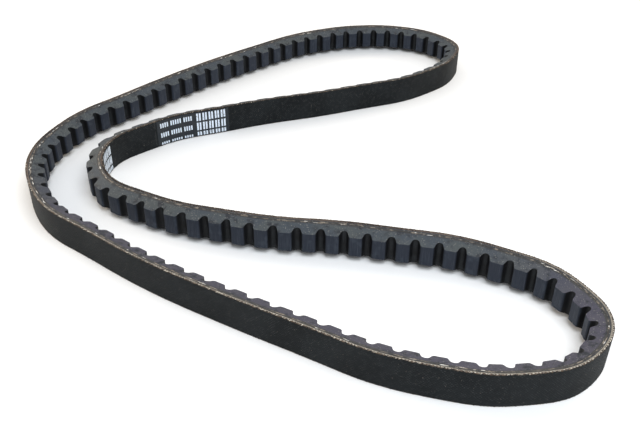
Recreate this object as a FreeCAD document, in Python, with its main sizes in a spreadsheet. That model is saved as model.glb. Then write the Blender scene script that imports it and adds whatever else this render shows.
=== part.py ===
import FreeCAD, Part

# Raw-edge cogged V-belt, lying on its side in an open horseshoe.
#
# The belt is one vulcanised endless band made of layers. From the back towards the cogs they are two
# plies of rubberised fabric, a gum layer over the cord, the tensile cord, a gum bed under the cord,
# and the compression rubber with its moulded cogs. Two printed transfers sit on the back.
#
# The belt line is the lower edge of the back, in the plane z = 0. It is a closed chain of tangent
# arcs. A section of the belt has two coordinates: its depth, measured from the back towards the
# cogs, and its height z, from 0 at the lower edge of the back to the back width at the upper edge.

import cmath
import math
import os

import Sketcher

TURN = 2 * math.pi

# ---------------------------------------------------------------------------------------------
# Driving dimensions, in millimetres and degrees
# ---------------------------------------------------------------------------------------------

DIMENSIONS = [
    ("cog_count", 115, "cogs round the belt"),
    ("cog_pitch", 8.465, "cog spacing along the cord"),
    ("back_width", 12.7, "width of the back"),
    ("belt_depth", 6.8, "from the back to the cog tips"),
    ("flank_angle", 21.5, "slope of each raw-edge flank"),
    ("ply_thickness", 0.5, "each fabric ply"),
    ("cord_count", 9, "turns of cord across the belt"),
    ("cord_diameter", 0.9, "tensile cord"),
    ("cord_cover", 0.25, "gum between the fabric and the cord"),
    ("cord_bedding", 0.3, "gum between the cord and the compression rubber"),
    ("cord_edge_margin", 0.6, "gum between the raw edge and the outermost cord"),
    ("notch_depth", 2.5, "from the cog tips to the notch root"),
    ("notch_root_radius", 1.45, "rounded notch root"),
    ("notch_side_angle", 22.0, "slope of the notch sides"),
    ("cog_corner_radius", 0.9, "rounded cog corners"),
    ("label_thickness", 0.1, "printed transfer"),
    ("label_margin", 0.5, "bare fabric on each side of a transfer"),
    ("long_label_start", 731.7, "along the belt line"),
    ("long_label_length", 34.0, "along the belt line"),
    ("short_label_start", 693.2, "along the belt line"),
    ("short_label_length", 12.5, "along the belt line"),
]

# The horseshoe lay of the belt line, counterclockwise round its inside. The arcs pass through these
# points. Only their proportions count, because the cog pitch and the cog count set the length.
LAY_POINTS = [
    # far lobe, from its top down the far strand
    (31, 136), (7, 126.5), (-29, 97), (-77, 44),
    # wide left end
    (-97.5, 16), (-104.5, -15), (-92.5, -48), (-61.5, -75),
    # near strand and the near lobe
    (0, -113), (41.5, -133), (70, -137.5), (93, -131), (104, -115), (97.5, -92.5), (72.5, -74.5),
    # middle strand, to the bend where the cogs are on the outside
    (33, -64), (-12, -57.5), (-47, -46.5), (-69, -30.5), (-74, -8), (-56.5, 14.5), (-24.5, 31),
    # inner strand and the far lobe
    (28, 51.5), (64.5, 69.5), (84, 91), (88.5, 108), (77, 127), (54, 137),
]

CORNER_EXIT = math.radians(25)   # slope of a rounded cog corner where it meets the cog tip
CUT_PAST_TIP = 0.3               # how far a notch cutter reaches past the cog tips
CUT_PAST_FLANK = 1.0             # how far a notch cutter reaches past each side of the belt
OUTLINE_STEPS = 6000             # points that find the extent of the belt line

document = FreeCAD.newDocument("cogged_v_belt")


def make_sheet():
    """The spreadsheet that holds every driving dimension."""
    sheet = document.addObject("Spreadsheet::Sheet", "dims")
    for row, (alias, value, meaning) in enumerate(DIMENSIONS, start=1):
        sheet.set(f"A{row}", alias)
        sheet.set(f"B{row}", str(value))
        sheet.set(f"C{row}", meaning)
        sheet.setAlias(f"B{row}", alias)
    document.recompute()
    return sheet


sheet = make_sheet()


# ---------------------------------------------------------------------------------------------
# The belt line
# ---------------------------------------------------------------------------------------------

class LineArc:
    """One arc of the belt line, with points as complex numbers x + yi.

    The arc starts at a point with a heading, and turns by an angle, positive to the left.
    """

    def __init__(self, start, heading, end):
        chord = end - start
        self.start = start
        self.heading = heading
        self.turn = 2 * cmath.phase(chord / heading)
        self.length = abs(chord) * (self.turn / 2) / math.sin(self.turn / 2)

    def curvature(self):
        """Turn per millimetre, positive where the cogs are on the inside of the bend."""
        return self.turn / self.length

    def length_at_depth(self, depth):
        """Length of the same stretch at a depth below the back."""
        return self.length * (1 - depth * self.curvature())

    def heading_at(self, share):
        """Heading after a share of the arc, from 0 to 1."""
        return self.heading * cmath.rect(1, self.turn * share)

    def point_at(self, share):
        """Point after a share of the arc, from 0 to 1."""
        if share == 0:
            return self.start
        half = self.turn * share / 2
        return self.start + self.heading * cmath.rect(self.length * share * math.sin(half) / half, half)

    def edge(self, first=0.0, last=1.0):
        """The arc as an edge, or the part of it between two shares."""
        stations = [self.point_at(share) for share in (first, (first + last) / 2, last)]
        return Part.Arc(*[FreeCAD.Vector(p.real, p.imag, 0) for p in stations]).toShape()


def through_heading(before, point, after):
    """Heading at a point of the circle through it and its two neighbours."""
    arriving = point - before
    leaving = after - point
    blend = arriving / abs(arriving) * abs(leaving) + leaving / abs(leaving) * abs(arriving)
    return blend / abs(blend)


def joint_of_arc_pair(start, start_heading, end, end_heading):
    """Where two tangent arcs meet that join two points with the given headings."""
    chord = end - start
    along = (chord * (start_heading + end_heading).conjugate()).real
    spread = 2 * (1 - (start_heading * end_heading.conjugate()).real)
    reach = (math.sqrt(along ** 2 + spread * abs(chord) ** 2) - along) / spread
    return (start + end + reach * (start_heading - end_heading)) / 2


def arc_chain(points):
    """Closed chain of tangent arcs, two between each point and the next."""
    count = len(points)
    headings = [through_heading(points[i - 1], points[i], points[(i + 1) % count]) for i in range(count)]
    chain = []
    for i in range(count):
        end = points[(i + 1) % count]
        joint = joint_of_arc_pair(points[i], headings[i], end, headings[(i + 1) % count])
        first = LineArc(points[i], headings[i], joint)
        chain += [first, LineArc(joint, first.heading_at(1), end)]
    return chain


def line_extent(chain):
    """Lowest and highest corner of the chain, as complex numbers."""
    wire = Part.Wire([arc.edge() for arc in chain])
    outline = wire.discretize(Number=OUTLINE_STEPS)
    low = complex(min(p.x for p in outline), min(p.y for p in outline))
    high = complex(max(p.x for p in outline), max(p.y for p in outline))
    return low, high


def cord_depth():
    """Depth of the cord's centre below the back."""
    return 2 * sheet.ply_thickness + sheet.cord_cover + sheet.cord_diameter / 2


def lay_belt_line():
    """The arcs of the belt line, at the size that gives the cord its length, centred on the origin."""
    points = [complex(x, y) for x, y in LAY_POINTS]
    drawn_length = sum(arc.length for arc in arc_chain(points))
    wanted_length = sheet.cog_count * sheet.cog_pitch + TURN * cord_depth()
    scale = wanted_length / drawn_length
    low, high = line_extent(arc_chain([scale * point for point in points]))
    middle = (low + high) / 2
    return arc_chain([scale * point - middle for point in points])


belt_arcs = lay_belt_line()


def frame_at_depth_length(distance, depth):
    """Point and heading of the belt line, a distance along the belt measured at a depth."""
    for arc in belt_arcs:
        stretch = arc.length_at_depth(depth)
        if distance <= stretch:
            return arc.point_at(distance / stretch), arc.heading_at(distance / stretch)
        distance -= stretch
    return belt_arcs[0].start, belt_arcs[0].heading


def section_placement(point, heading):
    """Placement of a section: its X runs from the back towards the cogs, and its Y is up."""
    inward = FreeCAD.Vector(-heading.imag, heading.real, 0)
    up = FreeCAD.Vector(0, 0, 1)
    return FreeCAD.Placement(FreeCAD.Vector(point.real, point.imag, 0),
                             FreeCAD.Rotation(inward, up, inward.cross(up), "XYZ"))


def notch_placement(point, heading):
    """Placement of a notch cutter: its X runs along the belt, and its Y towards the cogs."""
    along = FreeCAD.Vector(heading.real, heading.imag, 0)
    inward = FreeCAD.Vector(-heading.imag, heading.real, 0)
    return FreeCAD.Placement(FreeCAD.Vector(point.real, point.imag, 0),
                             FreeCAD.Rotation(along, inward, FreeCAD.Vector(0, 0, 1), "XYZ"))


def line_feature(name, edges):
    """A wire of the document, for sections to be swept along."""
    feature = document.addObject("Part::Feature", name)
    feature.Shape = Part.Wire(edges)
    return feature


def stretch_edges(start, length):
    """Edges of the belt line from a distance along it, for a length."""
    edges = []
    arc_start = 0.0
    for arc in belt_arcs:
        first = max(0.0, (start - arc_start) / arc.length)
        last = min(1.0, (start + length - arc_start) / arc.length)
        if first < last:
            edges.append(arc.edge(first, last))
        arc_start += arc.length
    return edges


belt_line = line_feature("belt_line", [arc.edge() for arc in belt_arcs])
START_PLACEMENT = section_placement(belt_arcs[0].start, belt_arcs[0].heading)


# ---------------------------------------------------------------------------------------------
# Sections, as sketches bound to the sheet
# ---------------------------------------------------------------------------------------------

# Formulas in the sheet's values. Depths are measured from the back, and the flanks start where the
# square-cut edges of the outer ply end.
FLANK_START = "dims.ply_thickness"
PLIES_DEPTH = "(2 * dims.ply_thickness)"
CORD_DEPTH = f"({PLIES_DEPTH} + dims.cord_cover + dims.cord_diameter / 2)"
BED_DEPTH = f"({CORD_DEPTH} + dims.cord_diameter / 2 + dims.cord_bedding)"


def flank_low(depth):
    """Height of the lower flank at a depth."""
    return f"({depth} - {FLANK_START}) * tan(dims.flank_angle * 1 deg)"


def flank_high(depth):
    """Height of the upper flank at a depth."""
    return f"dims.back_width - {flank_low(depth)}"


def cord_height(index):
    """Height of the centre of one turn of the cord, counted from the lower edge."""
    first = f"({flank_low(CORD_DEPTH)} + dims.cord_edge_margin + dims.cord_diameter / 2)"
    share = f"{index} / (dims.cord_count - 1)"
    return f"({first} + (dims.back_width - 2 * {first}) * {share})"


class Outline:
    """A closed outline in a sketch, made of lines and arcs between corners given by formulas."""

    def __init__(self, name, placement):
        self.sketch = document.addObject("Sketcher::SketchObject", name)
        self.sketch.Placement = placement
        self.corners = []
        self.centres = []

    def corner(self, across, up):
        """Adds a corner that a line leaves."""
        self.corners.append((across, up))
        self.centres.append(None)

    def arc_corner(self, across, up, centre_across, centre_up):
        """Adds a corner that an arc leaves, counterclockwise about its centre."""
        self.corners.append((across, up))
        self.centres.append((centre_across, centre_up))

    def value(self, formula):
        """Number that a formula gives now."""
        return self.sketch.evalExpression(formula)

    def bind(self, kind, geometry, spot, formula):
        """Ties one coordinate of a point to a formula."""
        number = float(self.value(formula))
        index = self.sketch.addConstraint(Sketcher.Constraint(kind, -1, 1, geometry, spot, number))
        self.sketch.setExpression(f"Constraints[{index}]", formula)

    def close(self):
        """Draws the outline and ties it to the sheet."""
        spots = [FreeCAD.Vector(float(self.value(a)), float(self.value(b)), 0) for a, b in self.corners]
        count = len(spots)
        for i, spot in enumerate(spots):
            after = spots[(i + 1) % count]
            if self.centres[i] is None:
                self.sketch.addGeometry(Part.LineSegment(spot, after), False)
                continue
            centre = FreeCAD.Vector(*[float(self.value(f)) for f in self.centres[i]], 0)
            circle = Part.Circle(centre, FreeCAD.Vector(0, 0, 1), spot.distanceToPoint(centre))
            angles = [math.atan2(p.y - centre.y, p.x - centre.x) for p in (spot, after)]
            self.sketch.addGeometry(Part.ArcOfCircle(circle, angles[0], angles[1]), False)
        for i in range(count):
            self.sketch.addConstraint(Sketcher.Constraint("Coincident", i, 2, (i + 1) % count, 1))
        for i, (across, up) in enumerate(self.corners):
            self.bind("DistanceX", i, 1, across)
            self.bind("DistanceY", i, 1, up)
            if self.centres[i] is not None:
                self.bind("DistanceX", i, 3, self.centres[i][0])
        return self.sketch


def slice_section(name, top, bottom):
    """Section of a layer between two depths, cut by the flanks."""
    outline = Outline(name, START_PLACEMENT)
    outline.corner(top, flank_low(top))
    outline.corner(bottom, flank_low(bottom))
    outline.corner(bottom, flank_high(bottom))
    outline.corner(top, flank_high(top))
    return outline.close()


def square_section(name, placement, top, bottom, low, high):
    """Section with square-cut edges, between two depths and two heights."""
    outline = Outline(name, placement)
    outline.corner(top, low)
    outline.corner(bottom, low)
    outline.corner(bottom, high)
    outline.corner(top, high)
    return outline.close()


def cover_section(name):
    """Section of the gum over the cord, with a half-round groove for each turn of the cord."""
    outline = Outline(name, START_PLACEMENT)
    outline.corner(PLIES_DEPTH, flank_low(PLIES_DEPTH))
    outline.corner(PLIES_DEPTH, flank_high(PLIES_DEPTH))
    outline.corner(CORD_DEPTH, flank_high(CORD_DEPTH))
    for index in reversed(range(int(sheet.cord_count))):
        centre = cord_height(index)
        outline.arc_corner(CORD_DEPTH, f"{centre} + dims.cord_diameter / 2", CORD_DEPTH, centre)
        outline.corner(CORD_DEPTH, f"{centre} - dims.cord_diameter / 2")
    outline.corner(CORD_DEPTH, flank_low(CORD_DEPTH))
    return outline.close()


def bed_section(name):
    """Section of the gum under the cord, with the other half of each groove."""
    outline = Outline(name, START_PLACEMENT)
    outline.corner(BED_DEPTH, flank_high(BED_DEPTH))
    outline.corner(BED_DEPTH, flank_low(BED_DEPTH))
    outline.corner(CORD_DEPTH, flank_low(CORD_DEPTH))
    for index in range(int(sheet.cord_count)):
        centre = cord_height(index)
        outline.arc_corner(CORD_DEPTH, f"{centre} - dims.cord_diameter / 2", CORD_DEPTH, centre)
        outline.corner(CORD_DEPTH, f"{centre} + dims.cord_diameter / 2")
    outline.corner(CORD_DEPTH, flank_high(CORD_DEPTH))
    return outline.close()


def cord_section(name, index):
    """Round section of one turn of the cord."""
    sketch = document.addObject("Sketcher::SketchObject", name)
    sketch.Placement = START_PLACEMENT
    centre = [float(sketch.evalExpression(formula)) for formula in (CORD_DEPTH, cord_height(index))]
    circle = Part.Circle(FreeCAD.Vector(*centre, 0), FreeCAD.Vector(0, 0, 1), sheet.cord_diameter / 2)
    sketch.addGeometry(circle, False)
    for kind, value, formula in (("DistanceX", centre[0], CORD_DEPTH),
                                 ("DistanceY", centre[1], cord_height(index))):
        tie = sketch.addConstraint(Sketcher.Constraint(kind, -1, 1, 0, 3, value))
        sketch.setExpression(f"Constraints[{tie}]", formula)
    tie = sketch.addConstraint(Sketcher.Constraint("Diameter", 0, sheet.cord_diameter))
    sketch.setExpression(f"Constraints[{tie}]", "dims.cord_diameter")
    return sketch


def sweep(name, section, line):
    """A solid sub-part: a section carried along a line."""
    feature = document.addObject("Part::Sweep", name)
    feature.Sections = [section]
    feature.Spine = (line, [])
    feature.Solid = True
    feature.Frenet = False
    feature.Label = name
    return feature


# ---------------------------------------------------------------------------------------------
# Layers, from the back towards the cogs
# ---------------------------------------------------------------------------------------------

def fabric_plies():
    """Two plies of rubberised fabric. The belt rests on the square-cut edge of the outer one."""
    outer = square_section("outer_ply_section", START_PLACEMENT, "0", FLANK_START, "0", "dims.back_width")
    inner = slice_section("inner_ply_section", FLANK_START, PLIES_DEPTH)
    return [sweep("back_fabric_outer_ply", outer, belt_line),
            sweep("back_fabric_inner_ply", inner, belt_line)]


def gum_layers():
    """The gum over the cord and the gum bed under it."""
    return [sweep("overcord_gum", cover_section("overcord_gum_section"), belt_line),
            sweep("undercord_gum", bed_section("undercord_gum_section"), belt_line)]


def tensile_cords():
    """The turns of the cord, side by side between the two gum layers."""
    cords = []
    for index in range(int(sheet.cord_count)):
        name = f"tensile_cord_{index + 1:02d}"
        cords.append(sweep(name, cord_section(f"{name}_section", index), belt_line))
    return cords


# ---------------------------------------------------------------------------------------------
# Compression rubber with moulded cogs
# ---------------------------------------------------------------------------------------------

def notch_face():
    """Outline of one notch: a round root, sloping sides, and the rounded corners of two cogs."""
    tip = sheet.belt_depth
    slope = math.radians(sheet.notch_side_angle)
    root = sheet.notch_root_radius
    corner = sheet.cog_corner_radius
    root_centre = complex(0, tip - sheet.notch_depth + root)
    corner_height = tip - corner * math.cos(CORNER_EXIT)
    lean = (corner_height - root_centre.imag) * math.sin(slope)
    corner_centre = complex((corner + root + lean) / math.cos(slope), corner_height)
    across_side = cmath.rect(1, -slope)
    exit_angle = math.pi / 2 + CORNER_EXIT
    middle_angle = (math.pi - slope + exit_angle) / 2
    mouth = corner_centre + cmath.rect(corner, exit_angle)
    cap_height = tip + CUT_PAST_TIP
    cap = complex(mouth.real + (cap_height - mouth.imag) / math.tan(CORNER_EXIT), cap_height)
    right = [root_centre + root * across_side, corner_centre - corner * across_side,
             corner_centre + cmath.rect(corner, middle_angle), mouth, cap]
    left = [complex(-p.real, p.imag) for p in right]
    bottom = root_centre - complex(0, root)

    def spot(point):
        return FreeCAD.Vector(point.real, point.imag, 0)

    edges = [Part.Arc(spot(left[0]), spot(bottom), spot(right[0])).toShape()]
    for side in (right, left):
        edges.append(Part.LineSegment(spot(side[0]), spot(side[1])).toShape())
        edges.append(Part.Arc(spot(side[1]), spot(side[2]), spot(side[3])).toShape())
        edges.append(Part.LineSegment(spot(side[3]), spot(side[4])).toShape())
    edges.append(Part.LineSegment(spot(right[4]), spot(left[4])).toShape())
    return Part.Face(Part.Wire(Part.__sortEdges__(edges)))


def notch_cutters():
    """One cutter for each notch, equally spaced along the cord."""
    face = notch_face()
    face.translate(FreeCAD.Vector(0, 0, -CUT_PAST_FLANK))
    cutter = face.extrude(FreeCAD.Vector(0, 0, sheet.back_width + 2 * CUT_PAST_FLANK))
    cutters = []
    for index in range(int(sheet.cog_count)):
        distance = (index + 0.5) * sheet.cog_pitch
        copy = cutter.copy()
        copy.Placement = notch_placement(*frame_at_depth_length(distance, cord_depth()))
        cutters.append(copy)
    feature = document.addObject("Part::Feature", "notch_cutters")
    feature.Shape = Part.makeCompound(cutters)
    return feature


def compression_rubber():
    """The thick rubber layer, with notches cut across it to leave the cogs."""
    blank = sweep("compression_blank", slice_section("compression_section", BED_DEPTH, "dims.belt_depth"),
                  belt_line)
    cogs = document.addObject("Part::Cut", "cogged_compression_rubber")
    cogs.Base = blank
    cogs.Tool = notch_cutters()
    cogs.Label = "cogged_compression_rubber"
    return [cogs]


# ---------------------------------------------------------------------------------------------
# Printed transfers on the back
# ---------------------------------------------------------------------------------------------

def transfers():
    """Two thin printed films, bonded to the outer ply."""
    films = []
    for name in ("long_label", "short_label"):
        start = sheet.getPropertyByName(f"{name}_start")
        edges = stretch_edges(start, sheet.getPropertyByName(f"{name}_length"))
        line = line_feature(f"{name}_line", edges)
        point, heading = frame_at_depth_length(start, 0)
        section = square_section(f"{name}_section", section_placement(point, heading),
                                 "-dims.label_thickness", "0", "dims.label_margin",
                                 "dims.back_width - dims.label_margin")
        films.append(sweep(f"{name.split('_')[0]}_transfer_label", section, line))
    return films


# ---------------------------------------------------------------------------------------------
# Checks and files
# ---------------------------------------------------------------------------------------------

def check_and_write(parts):
    """Stops on any failed object or shape, then writes one file for each sub-part."""
    document.recompute()
    for item in document.Objects:
        if "Invalid" in item.State or "Error" in item.State:
            raise RuntimeError(f"{item.Label} failed: {item.State}")
    for part in parts:
        if part.Shape.isNull() or not part.Shape.isValid():
            raise RuntimeError(f"{part.Label} has no valid shape")
        if len(part.Shape.Solids) != 1:
            raise RuntimeError(f"{part.Label} is {len(part.Shape.Solids)} solids")
    os.makedirs("parts", exist_ok=True)
    for part in parts:
        part.Shape.exportStep(f"parts/{part.Label}.step")
        print(f"{part.Label}: {part.Shape.Volume:.1f} cubic millimetres")


check_and_write(fabric_plies() + gum_layers() + tensile_cords() + compression_rubber() + transfers())
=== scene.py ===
import logging
import math
from dataclasses import dataclass, field
from enum import Enum

import bpy
import numpy as np
from mathutils import Matrix, Vector


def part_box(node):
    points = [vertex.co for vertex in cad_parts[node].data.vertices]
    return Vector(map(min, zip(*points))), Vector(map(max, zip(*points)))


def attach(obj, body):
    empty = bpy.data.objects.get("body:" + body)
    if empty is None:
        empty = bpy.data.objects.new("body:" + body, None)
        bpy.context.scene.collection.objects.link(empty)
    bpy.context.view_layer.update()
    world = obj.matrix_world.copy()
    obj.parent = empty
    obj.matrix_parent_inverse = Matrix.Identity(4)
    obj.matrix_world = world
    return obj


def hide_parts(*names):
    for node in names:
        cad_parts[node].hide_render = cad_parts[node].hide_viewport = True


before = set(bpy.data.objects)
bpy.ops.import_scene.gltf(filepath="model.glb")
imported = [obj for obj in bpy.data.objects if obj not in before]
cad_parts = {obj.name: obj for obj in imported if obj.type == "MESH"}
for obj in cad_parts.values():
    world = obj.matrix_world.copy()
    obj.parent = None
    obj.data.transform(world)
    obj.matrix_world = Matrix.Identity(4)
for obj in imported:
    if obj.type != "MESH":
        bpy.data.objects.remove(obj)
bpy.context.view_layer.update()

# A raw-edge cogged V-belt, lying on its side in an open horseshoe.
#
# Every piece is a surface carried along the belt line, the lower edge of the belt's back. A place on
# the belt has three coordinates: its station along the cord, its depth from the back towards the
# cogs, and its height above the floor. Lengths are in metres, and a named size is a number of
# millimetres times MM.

MM = 0.001
TURN = 2 * math.pi
ROOT_BODY = "root"
BELT_UV = "belt"          # station along the cord, and distance round the section
SECTION_UV = "section"    # depth and height in the section
SHADE = "shade"           # attribute of small repeated pieces: a random number from 0 to 1

# Seeds of the random draws. A piece on an edge adds that edge's direction, and each piece uses the
# few numbers after its own.
OUTER_RAG_SEED = 11
INNER_RAG_SEED = 12
FRINGE_SEED = 40
CUT_CORD_SEED = 60
RUBBER_SEED = 80
LONG_LABEL_SEED = 100
SHORT_LABEL_SEED = 110

log = logging.getLogger("belt")

Grid = np.ndarray
Colour = tuple[float, float, float, float]


# ---- The belt line and the places on it ----

# The arcs of the lay pass through these points, counterclockwise round the inside of the loop. The
# frame's box sets their scale.
LAY_POINTS = [
    # far lobe, from its top down the far strand
    (31, 136), (7, 126.5), (-29, 97), (-77, 44),
    # wide left end
    (-97.5, 16), (-104.5, -15), (-92.5, -48), (-61.5, -75),
    # near strand and the near lobe
    (0, -113), (41.5, -133), (70, -137.5), (93, -131), (104, -115), (97.5, -92.5), (72.5, -74.5),
    # middle strand, to the bend where the cogs are on the outside
    (33, -64), (-12, -57.5), (-47, -46.5), (-69, -30.5), (-74, -8), (-56.5, 14.5), (-24.5, 31),
    # inner strand and the far lobe
    (28, 51.5), (64.5, 69.5), (84, 91), (88.5, 108), (77, 127), (54, 137),
]


def interleave(first: Grid, second: Grid) -> Grid:
    """Puts two arrays together, one value of each in turn."""
    return np.stack([first, second], axis=1).ravel()


@dataclass
class BeltLine:
    """The lower edge of the belt's back, as closely spaced places with the direction towards the cogs.

    The lay points are joined by pairs of tangent arcs. The heading at a point is that of the circle
    through it and its two neighbours. The places are then averaged over a short span, which eases
    the change of curvature from one arc to the next.
    """

    low: Vector
    high: Vector
    cord_depth: float
    sample_count: int = 12000
    easing: float = 4.0 * MM
    stations: Grid = field(init=False)
    distances: Grid = field(init=False)
    places: Grid = field(init=False)
    inward: Grid = field(init=False)

    def __post_init__(self) -> None:
        """Samples the line, and measures distances along the back and stations along the cord."""
        places = self.eased(self.fitted(self.sampled_arcs()))
        heading = np.roll(places, -1) - np.roll(places, 1)
        heading /= np.abs(heading)
        self.inward = np.append(1j * heading, 1j * heading[0])
        self.places = np.append(places, places[0])
        self.distances = self.run_along(self.places)
        self.stations = self.run_along(self.places + self.cord_depth * self.inward)

    @property
    def cord_length(self) -> float:
        """Length of the cord, once round."""
        return float(self.stations[-1])

    def station_at(self, distance: Grid) -> Grid:
        """Station along the cord of a place whose distance is measured along the back."""
        return np.interp(distance, self.distances, self.stations)

    @staticmethod
    def run_along(places: Grid) -> Grid:
        """Distance of each place from the first one, along the places."""
        return np.concatenate([[0.0], np.cumsum(np.abs(np.diff(places)))])

    def sampled_arcs(self) -> Grid:
        """Points at equal distances along the chain of arcs through the lay points.

        Two arcs join each point to the next. They meet half way between the tips of two equal
        tangents, and the length of those tangents solves a quadratic. A point on an arc is its
        start plus its heading, turned by half the angle so far, times the chord so far.

        Returns:
            The points as complex numbers, without the last one, which is the first.
        """
        points = np.array([complex(x, y) for x, y in LAY_POINTS])
        after = np.roll(points, -1)
        arriving = points - np.roll(points, 1)
        leaving = after - points
        heading = arriving / abs(arriving) * abs(leaving) + leaving / abs(leaving) * abs(arriving)
        heading /= abs(heading)
        next_heading = np.roll(heading, -1)
        along = (leaving * (heading + next_heading).conjugate()).real
        spread = 2 * (1 - (heading * next_heading.conjugate()).real)
        reach = (np.sqrt(along ** 2 + spread * abs(leaving) ** 2) - along) / spread
        joint = (points + after + reach * (heading - next_heading)) / 2
        joint_heading = heading * np.exp(2j * np.angle((joint - points) / heading))
        start = interleave(points, joint)
        direction = interleave(heading, joint_heading)
        chord = interleave(joint, after) - start
        turn = 2 * np.angle(chord / direction)
        length = abs(chord) / np.sinc(turn / TURN)
        ends = np.cumsum(length)
        distance = np.arange(self.sample_count) * ends[-1] / self.sample_count
        arc = np.searchsorted(ends, distance, side="right")
        share = (distance - ends[arc] + length[arc]) / length[arc]
        half = turn[arc] * share / 2
        step = length[arc] * share * np.sinc(half / math.pi)
        return start[arc] + direction[arc] * np.exp(1j * half) * step

    def fitted(self, points: Grid) -> Grid:
        """Scales and moves points so that their extent is the frame's box in plan."""
        low = complex(points.real.min(), points.imag.min())
        high = complex(points.real.max(), points.imag.max())
        size = self.high - self.low
        scale = (size.x + size.y) / ((high - low).real + (high - low).imag)
        middle = complex(self.low.x + self.high.x, self.low.y + self.high.y) / 2
        return (points - (low + high) / 2) * scale + middle

    def eased(self, points: Grid) -> Grid:
        """Averages each point with its neighbours inside the easing span, with bell-shaped weights."""
        spacing = abs(points[1] - points[0])
        reach = int(round(self.easing / spacing))
        weights = np.hanning(2 * reach + 3)[1:-1]
        padded = np.concatenate([points[-reach:], points, points[:reach]])
        return np.convolve(padded, weights / weights.sum(), "valid")

    def carry(self, station: Grid, depth: Grid, height: Grid) -> Grid:
        """Places on the belt, in the frame's own coordinates.

        A place is the point of the belt line at its station, moved towards the cogs by its depth
        and up by its height.

        Args:
            station: Distances along the cord, of any shape.
            depth: Depths below the back, of the same shape or one that matches it.
            height: Heights above the floor, likewise.

        Returns:
            An array of that shape with x, y and z last.
        """
        station, depth, height = np.broadcast_arrays(station, depth, height)
        wrapped = np.mod(station, self.cord_length)
        x, y, nx, ny = (np.interp(wrapped, self.stations, values) for values in
                        (self.places.real, self.places.imag, self.inward.real, self.inward.imag))
        return np.stack([x + nx * depth, y + ny * depth, height], axis=-1)

    def noise(self, seed: int, station: Grid, wavelength: float) -> Grid:
        """A smooth random line that closes on itself after one round of the belt.

        Random values stand at knots one wavelength apart, and a cosine blends from each to the
        next.

        Args:
            seed: Number that the random values start from.
            station: Distances along the cord.
            wavelength: Distance between the knots.

        Returns:
            One value from -1 to 1 for each station.
        """
        count = max(4, int(round(self.cord_length / wavelength)))
        knots = np.random.default_rng(seed).uniform(-1, 1, count)
        place = np.mod(station / self.cord_length, 1.0) * count
        first = np.floor(place).astype(int) % count
        blend = (1 - np.cos(math.pi * (place - np.floor(place)))) / 2
        return knots[first] * (1 - blend) + knots[(first + 1) % count] * blend


@dataclass(frozen=True)
class BeltSection:
    """Sizes of the belt's section. The outer ply is square-cut, and the flanks slope in below it."""

    width: float
    ply: float = 0.5 * MM
    cord_depth: float = 1.7 * MM
    bed_depth: float = 2.45 * MM
    tip_depth: float = 6.8 * MM
    flank_slope: float = math.tan(math.radians(21.5))

    def low(self, depth: Grid) -> Grid:
        """Height of the lower edge or flank at a depth."""
        return np.maximum(np.asarray(depth) - self.ply, 0) * self.flank_slope

    def high(self, depth: Grid) -> Grid:
        """Height of the upper edge or flank at a depth."""
        return self.width - self.low(depth)


# ---- Meshes ----

@dataclass
class Surface:
    """A grid of points that becomes a mesh, with its two UV maps.

    The first direction runs along the belt, and the second round the section, counterclockwise with
    depth to the right and height up, so that the faces point outwards.
    """

    belt: BeltLine
    station: Grid
    depth: Grid
    height: Grid
    closed_along: bool = True

    def corners(self) -> tuple[Grid, Grid]:
        """Row and column of the four corners of each face, before they wrap."""
        rows = self.depth.shape[0] - (0 if self.closed_along else 1)
        columns = self.depth.shape[1]
        i, j = np.meshgrid(np.arange(rows), np.arange(columns), indexing="ij")
        row = np.stack([i, i, i + 1, i + 1], axis=-1).reshape(-1, 4)
        column = np.stack([j, j + 1, j + 1, j], axis=-1).reshape(-1, 4)
        return row, column

    def around(self) -> Grid:
        """Distance round the section of each column and of the first one again, on the first row."""
        outline = self.depth[0] + 1j * self.height[0]
        return BeltLine.run_along(np.append(outline, outline[0]))

    def mesh(self, name: str, slots: Grid | None = None, sharp: float = 40.0) -> bpy.types.Mesh:
        """Makes the mesh.

        Args:
            name: Name of the mesh.
            slots: Material slot of each column of faces, or None for the first slot.
            sharp: Angle in degrees above which an edge isn't smoothed.

        Returns:
            The mesh, smooth shaded, with its UV maps.
        """
        rows, columns = self.depth.shape
        row, column = self.corners()
        faces = ((row % rows) * columns + column % columns).tolist()
        ends = []
        if not self.closed_along:
            ends = [list(range(columns))[::-1], list(range((rows - 1) * columns, rows * columns))]
        points = self.belt.carry(self.station[:, None], self.depth, self.height)
        mesh = bpy.data.meshes.new(name)
        mesh.from_pydata(points.reshape(-1, 3), [], faces + ends)
        station = np.append(self.station, 2 * self.station[-1] - self.station[-2])
        belt = np.stack([station[row], self.around()[column]], axis=-1)
        section = np.stack([grid[row % rows, column % columns] for grid in (self.depth, self.height)],
                           axis=-1)
        for label, values in ((BELT_UV, belt), (SECTION_UV, section)):
            spots = np.zeros((len(mesh.loops), 2))
            spots[:row.size] = values.reshape(-1, 2)
            mesh.uv_layers.new(name=label).uv.foreach_set("vector", spots.ravel())
        if slots is not None:
            chosen = np.zeros(len(mesh.polygons), dtype=np.int32)
            chosen[:len(row)] = slots[column[:, 0]]
            mesh.polygons.foreach_set("material_index", chosen)
        smooth(mesh, sharp)
        return mesh


def smooth(mesh: bpy.types.Mesh, sharp: float) -> None:
    """Smooths a mesh's faces, except across edges sharper than an angle in degrees."""
    mesh.polygons.foreach_set("use_smooth", np.ones(len(mesh.polygons), dtype=bool))
    mesh.update()
    mesh.set_sharp_from_angle(angle=math.radians(sharp))


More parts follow.
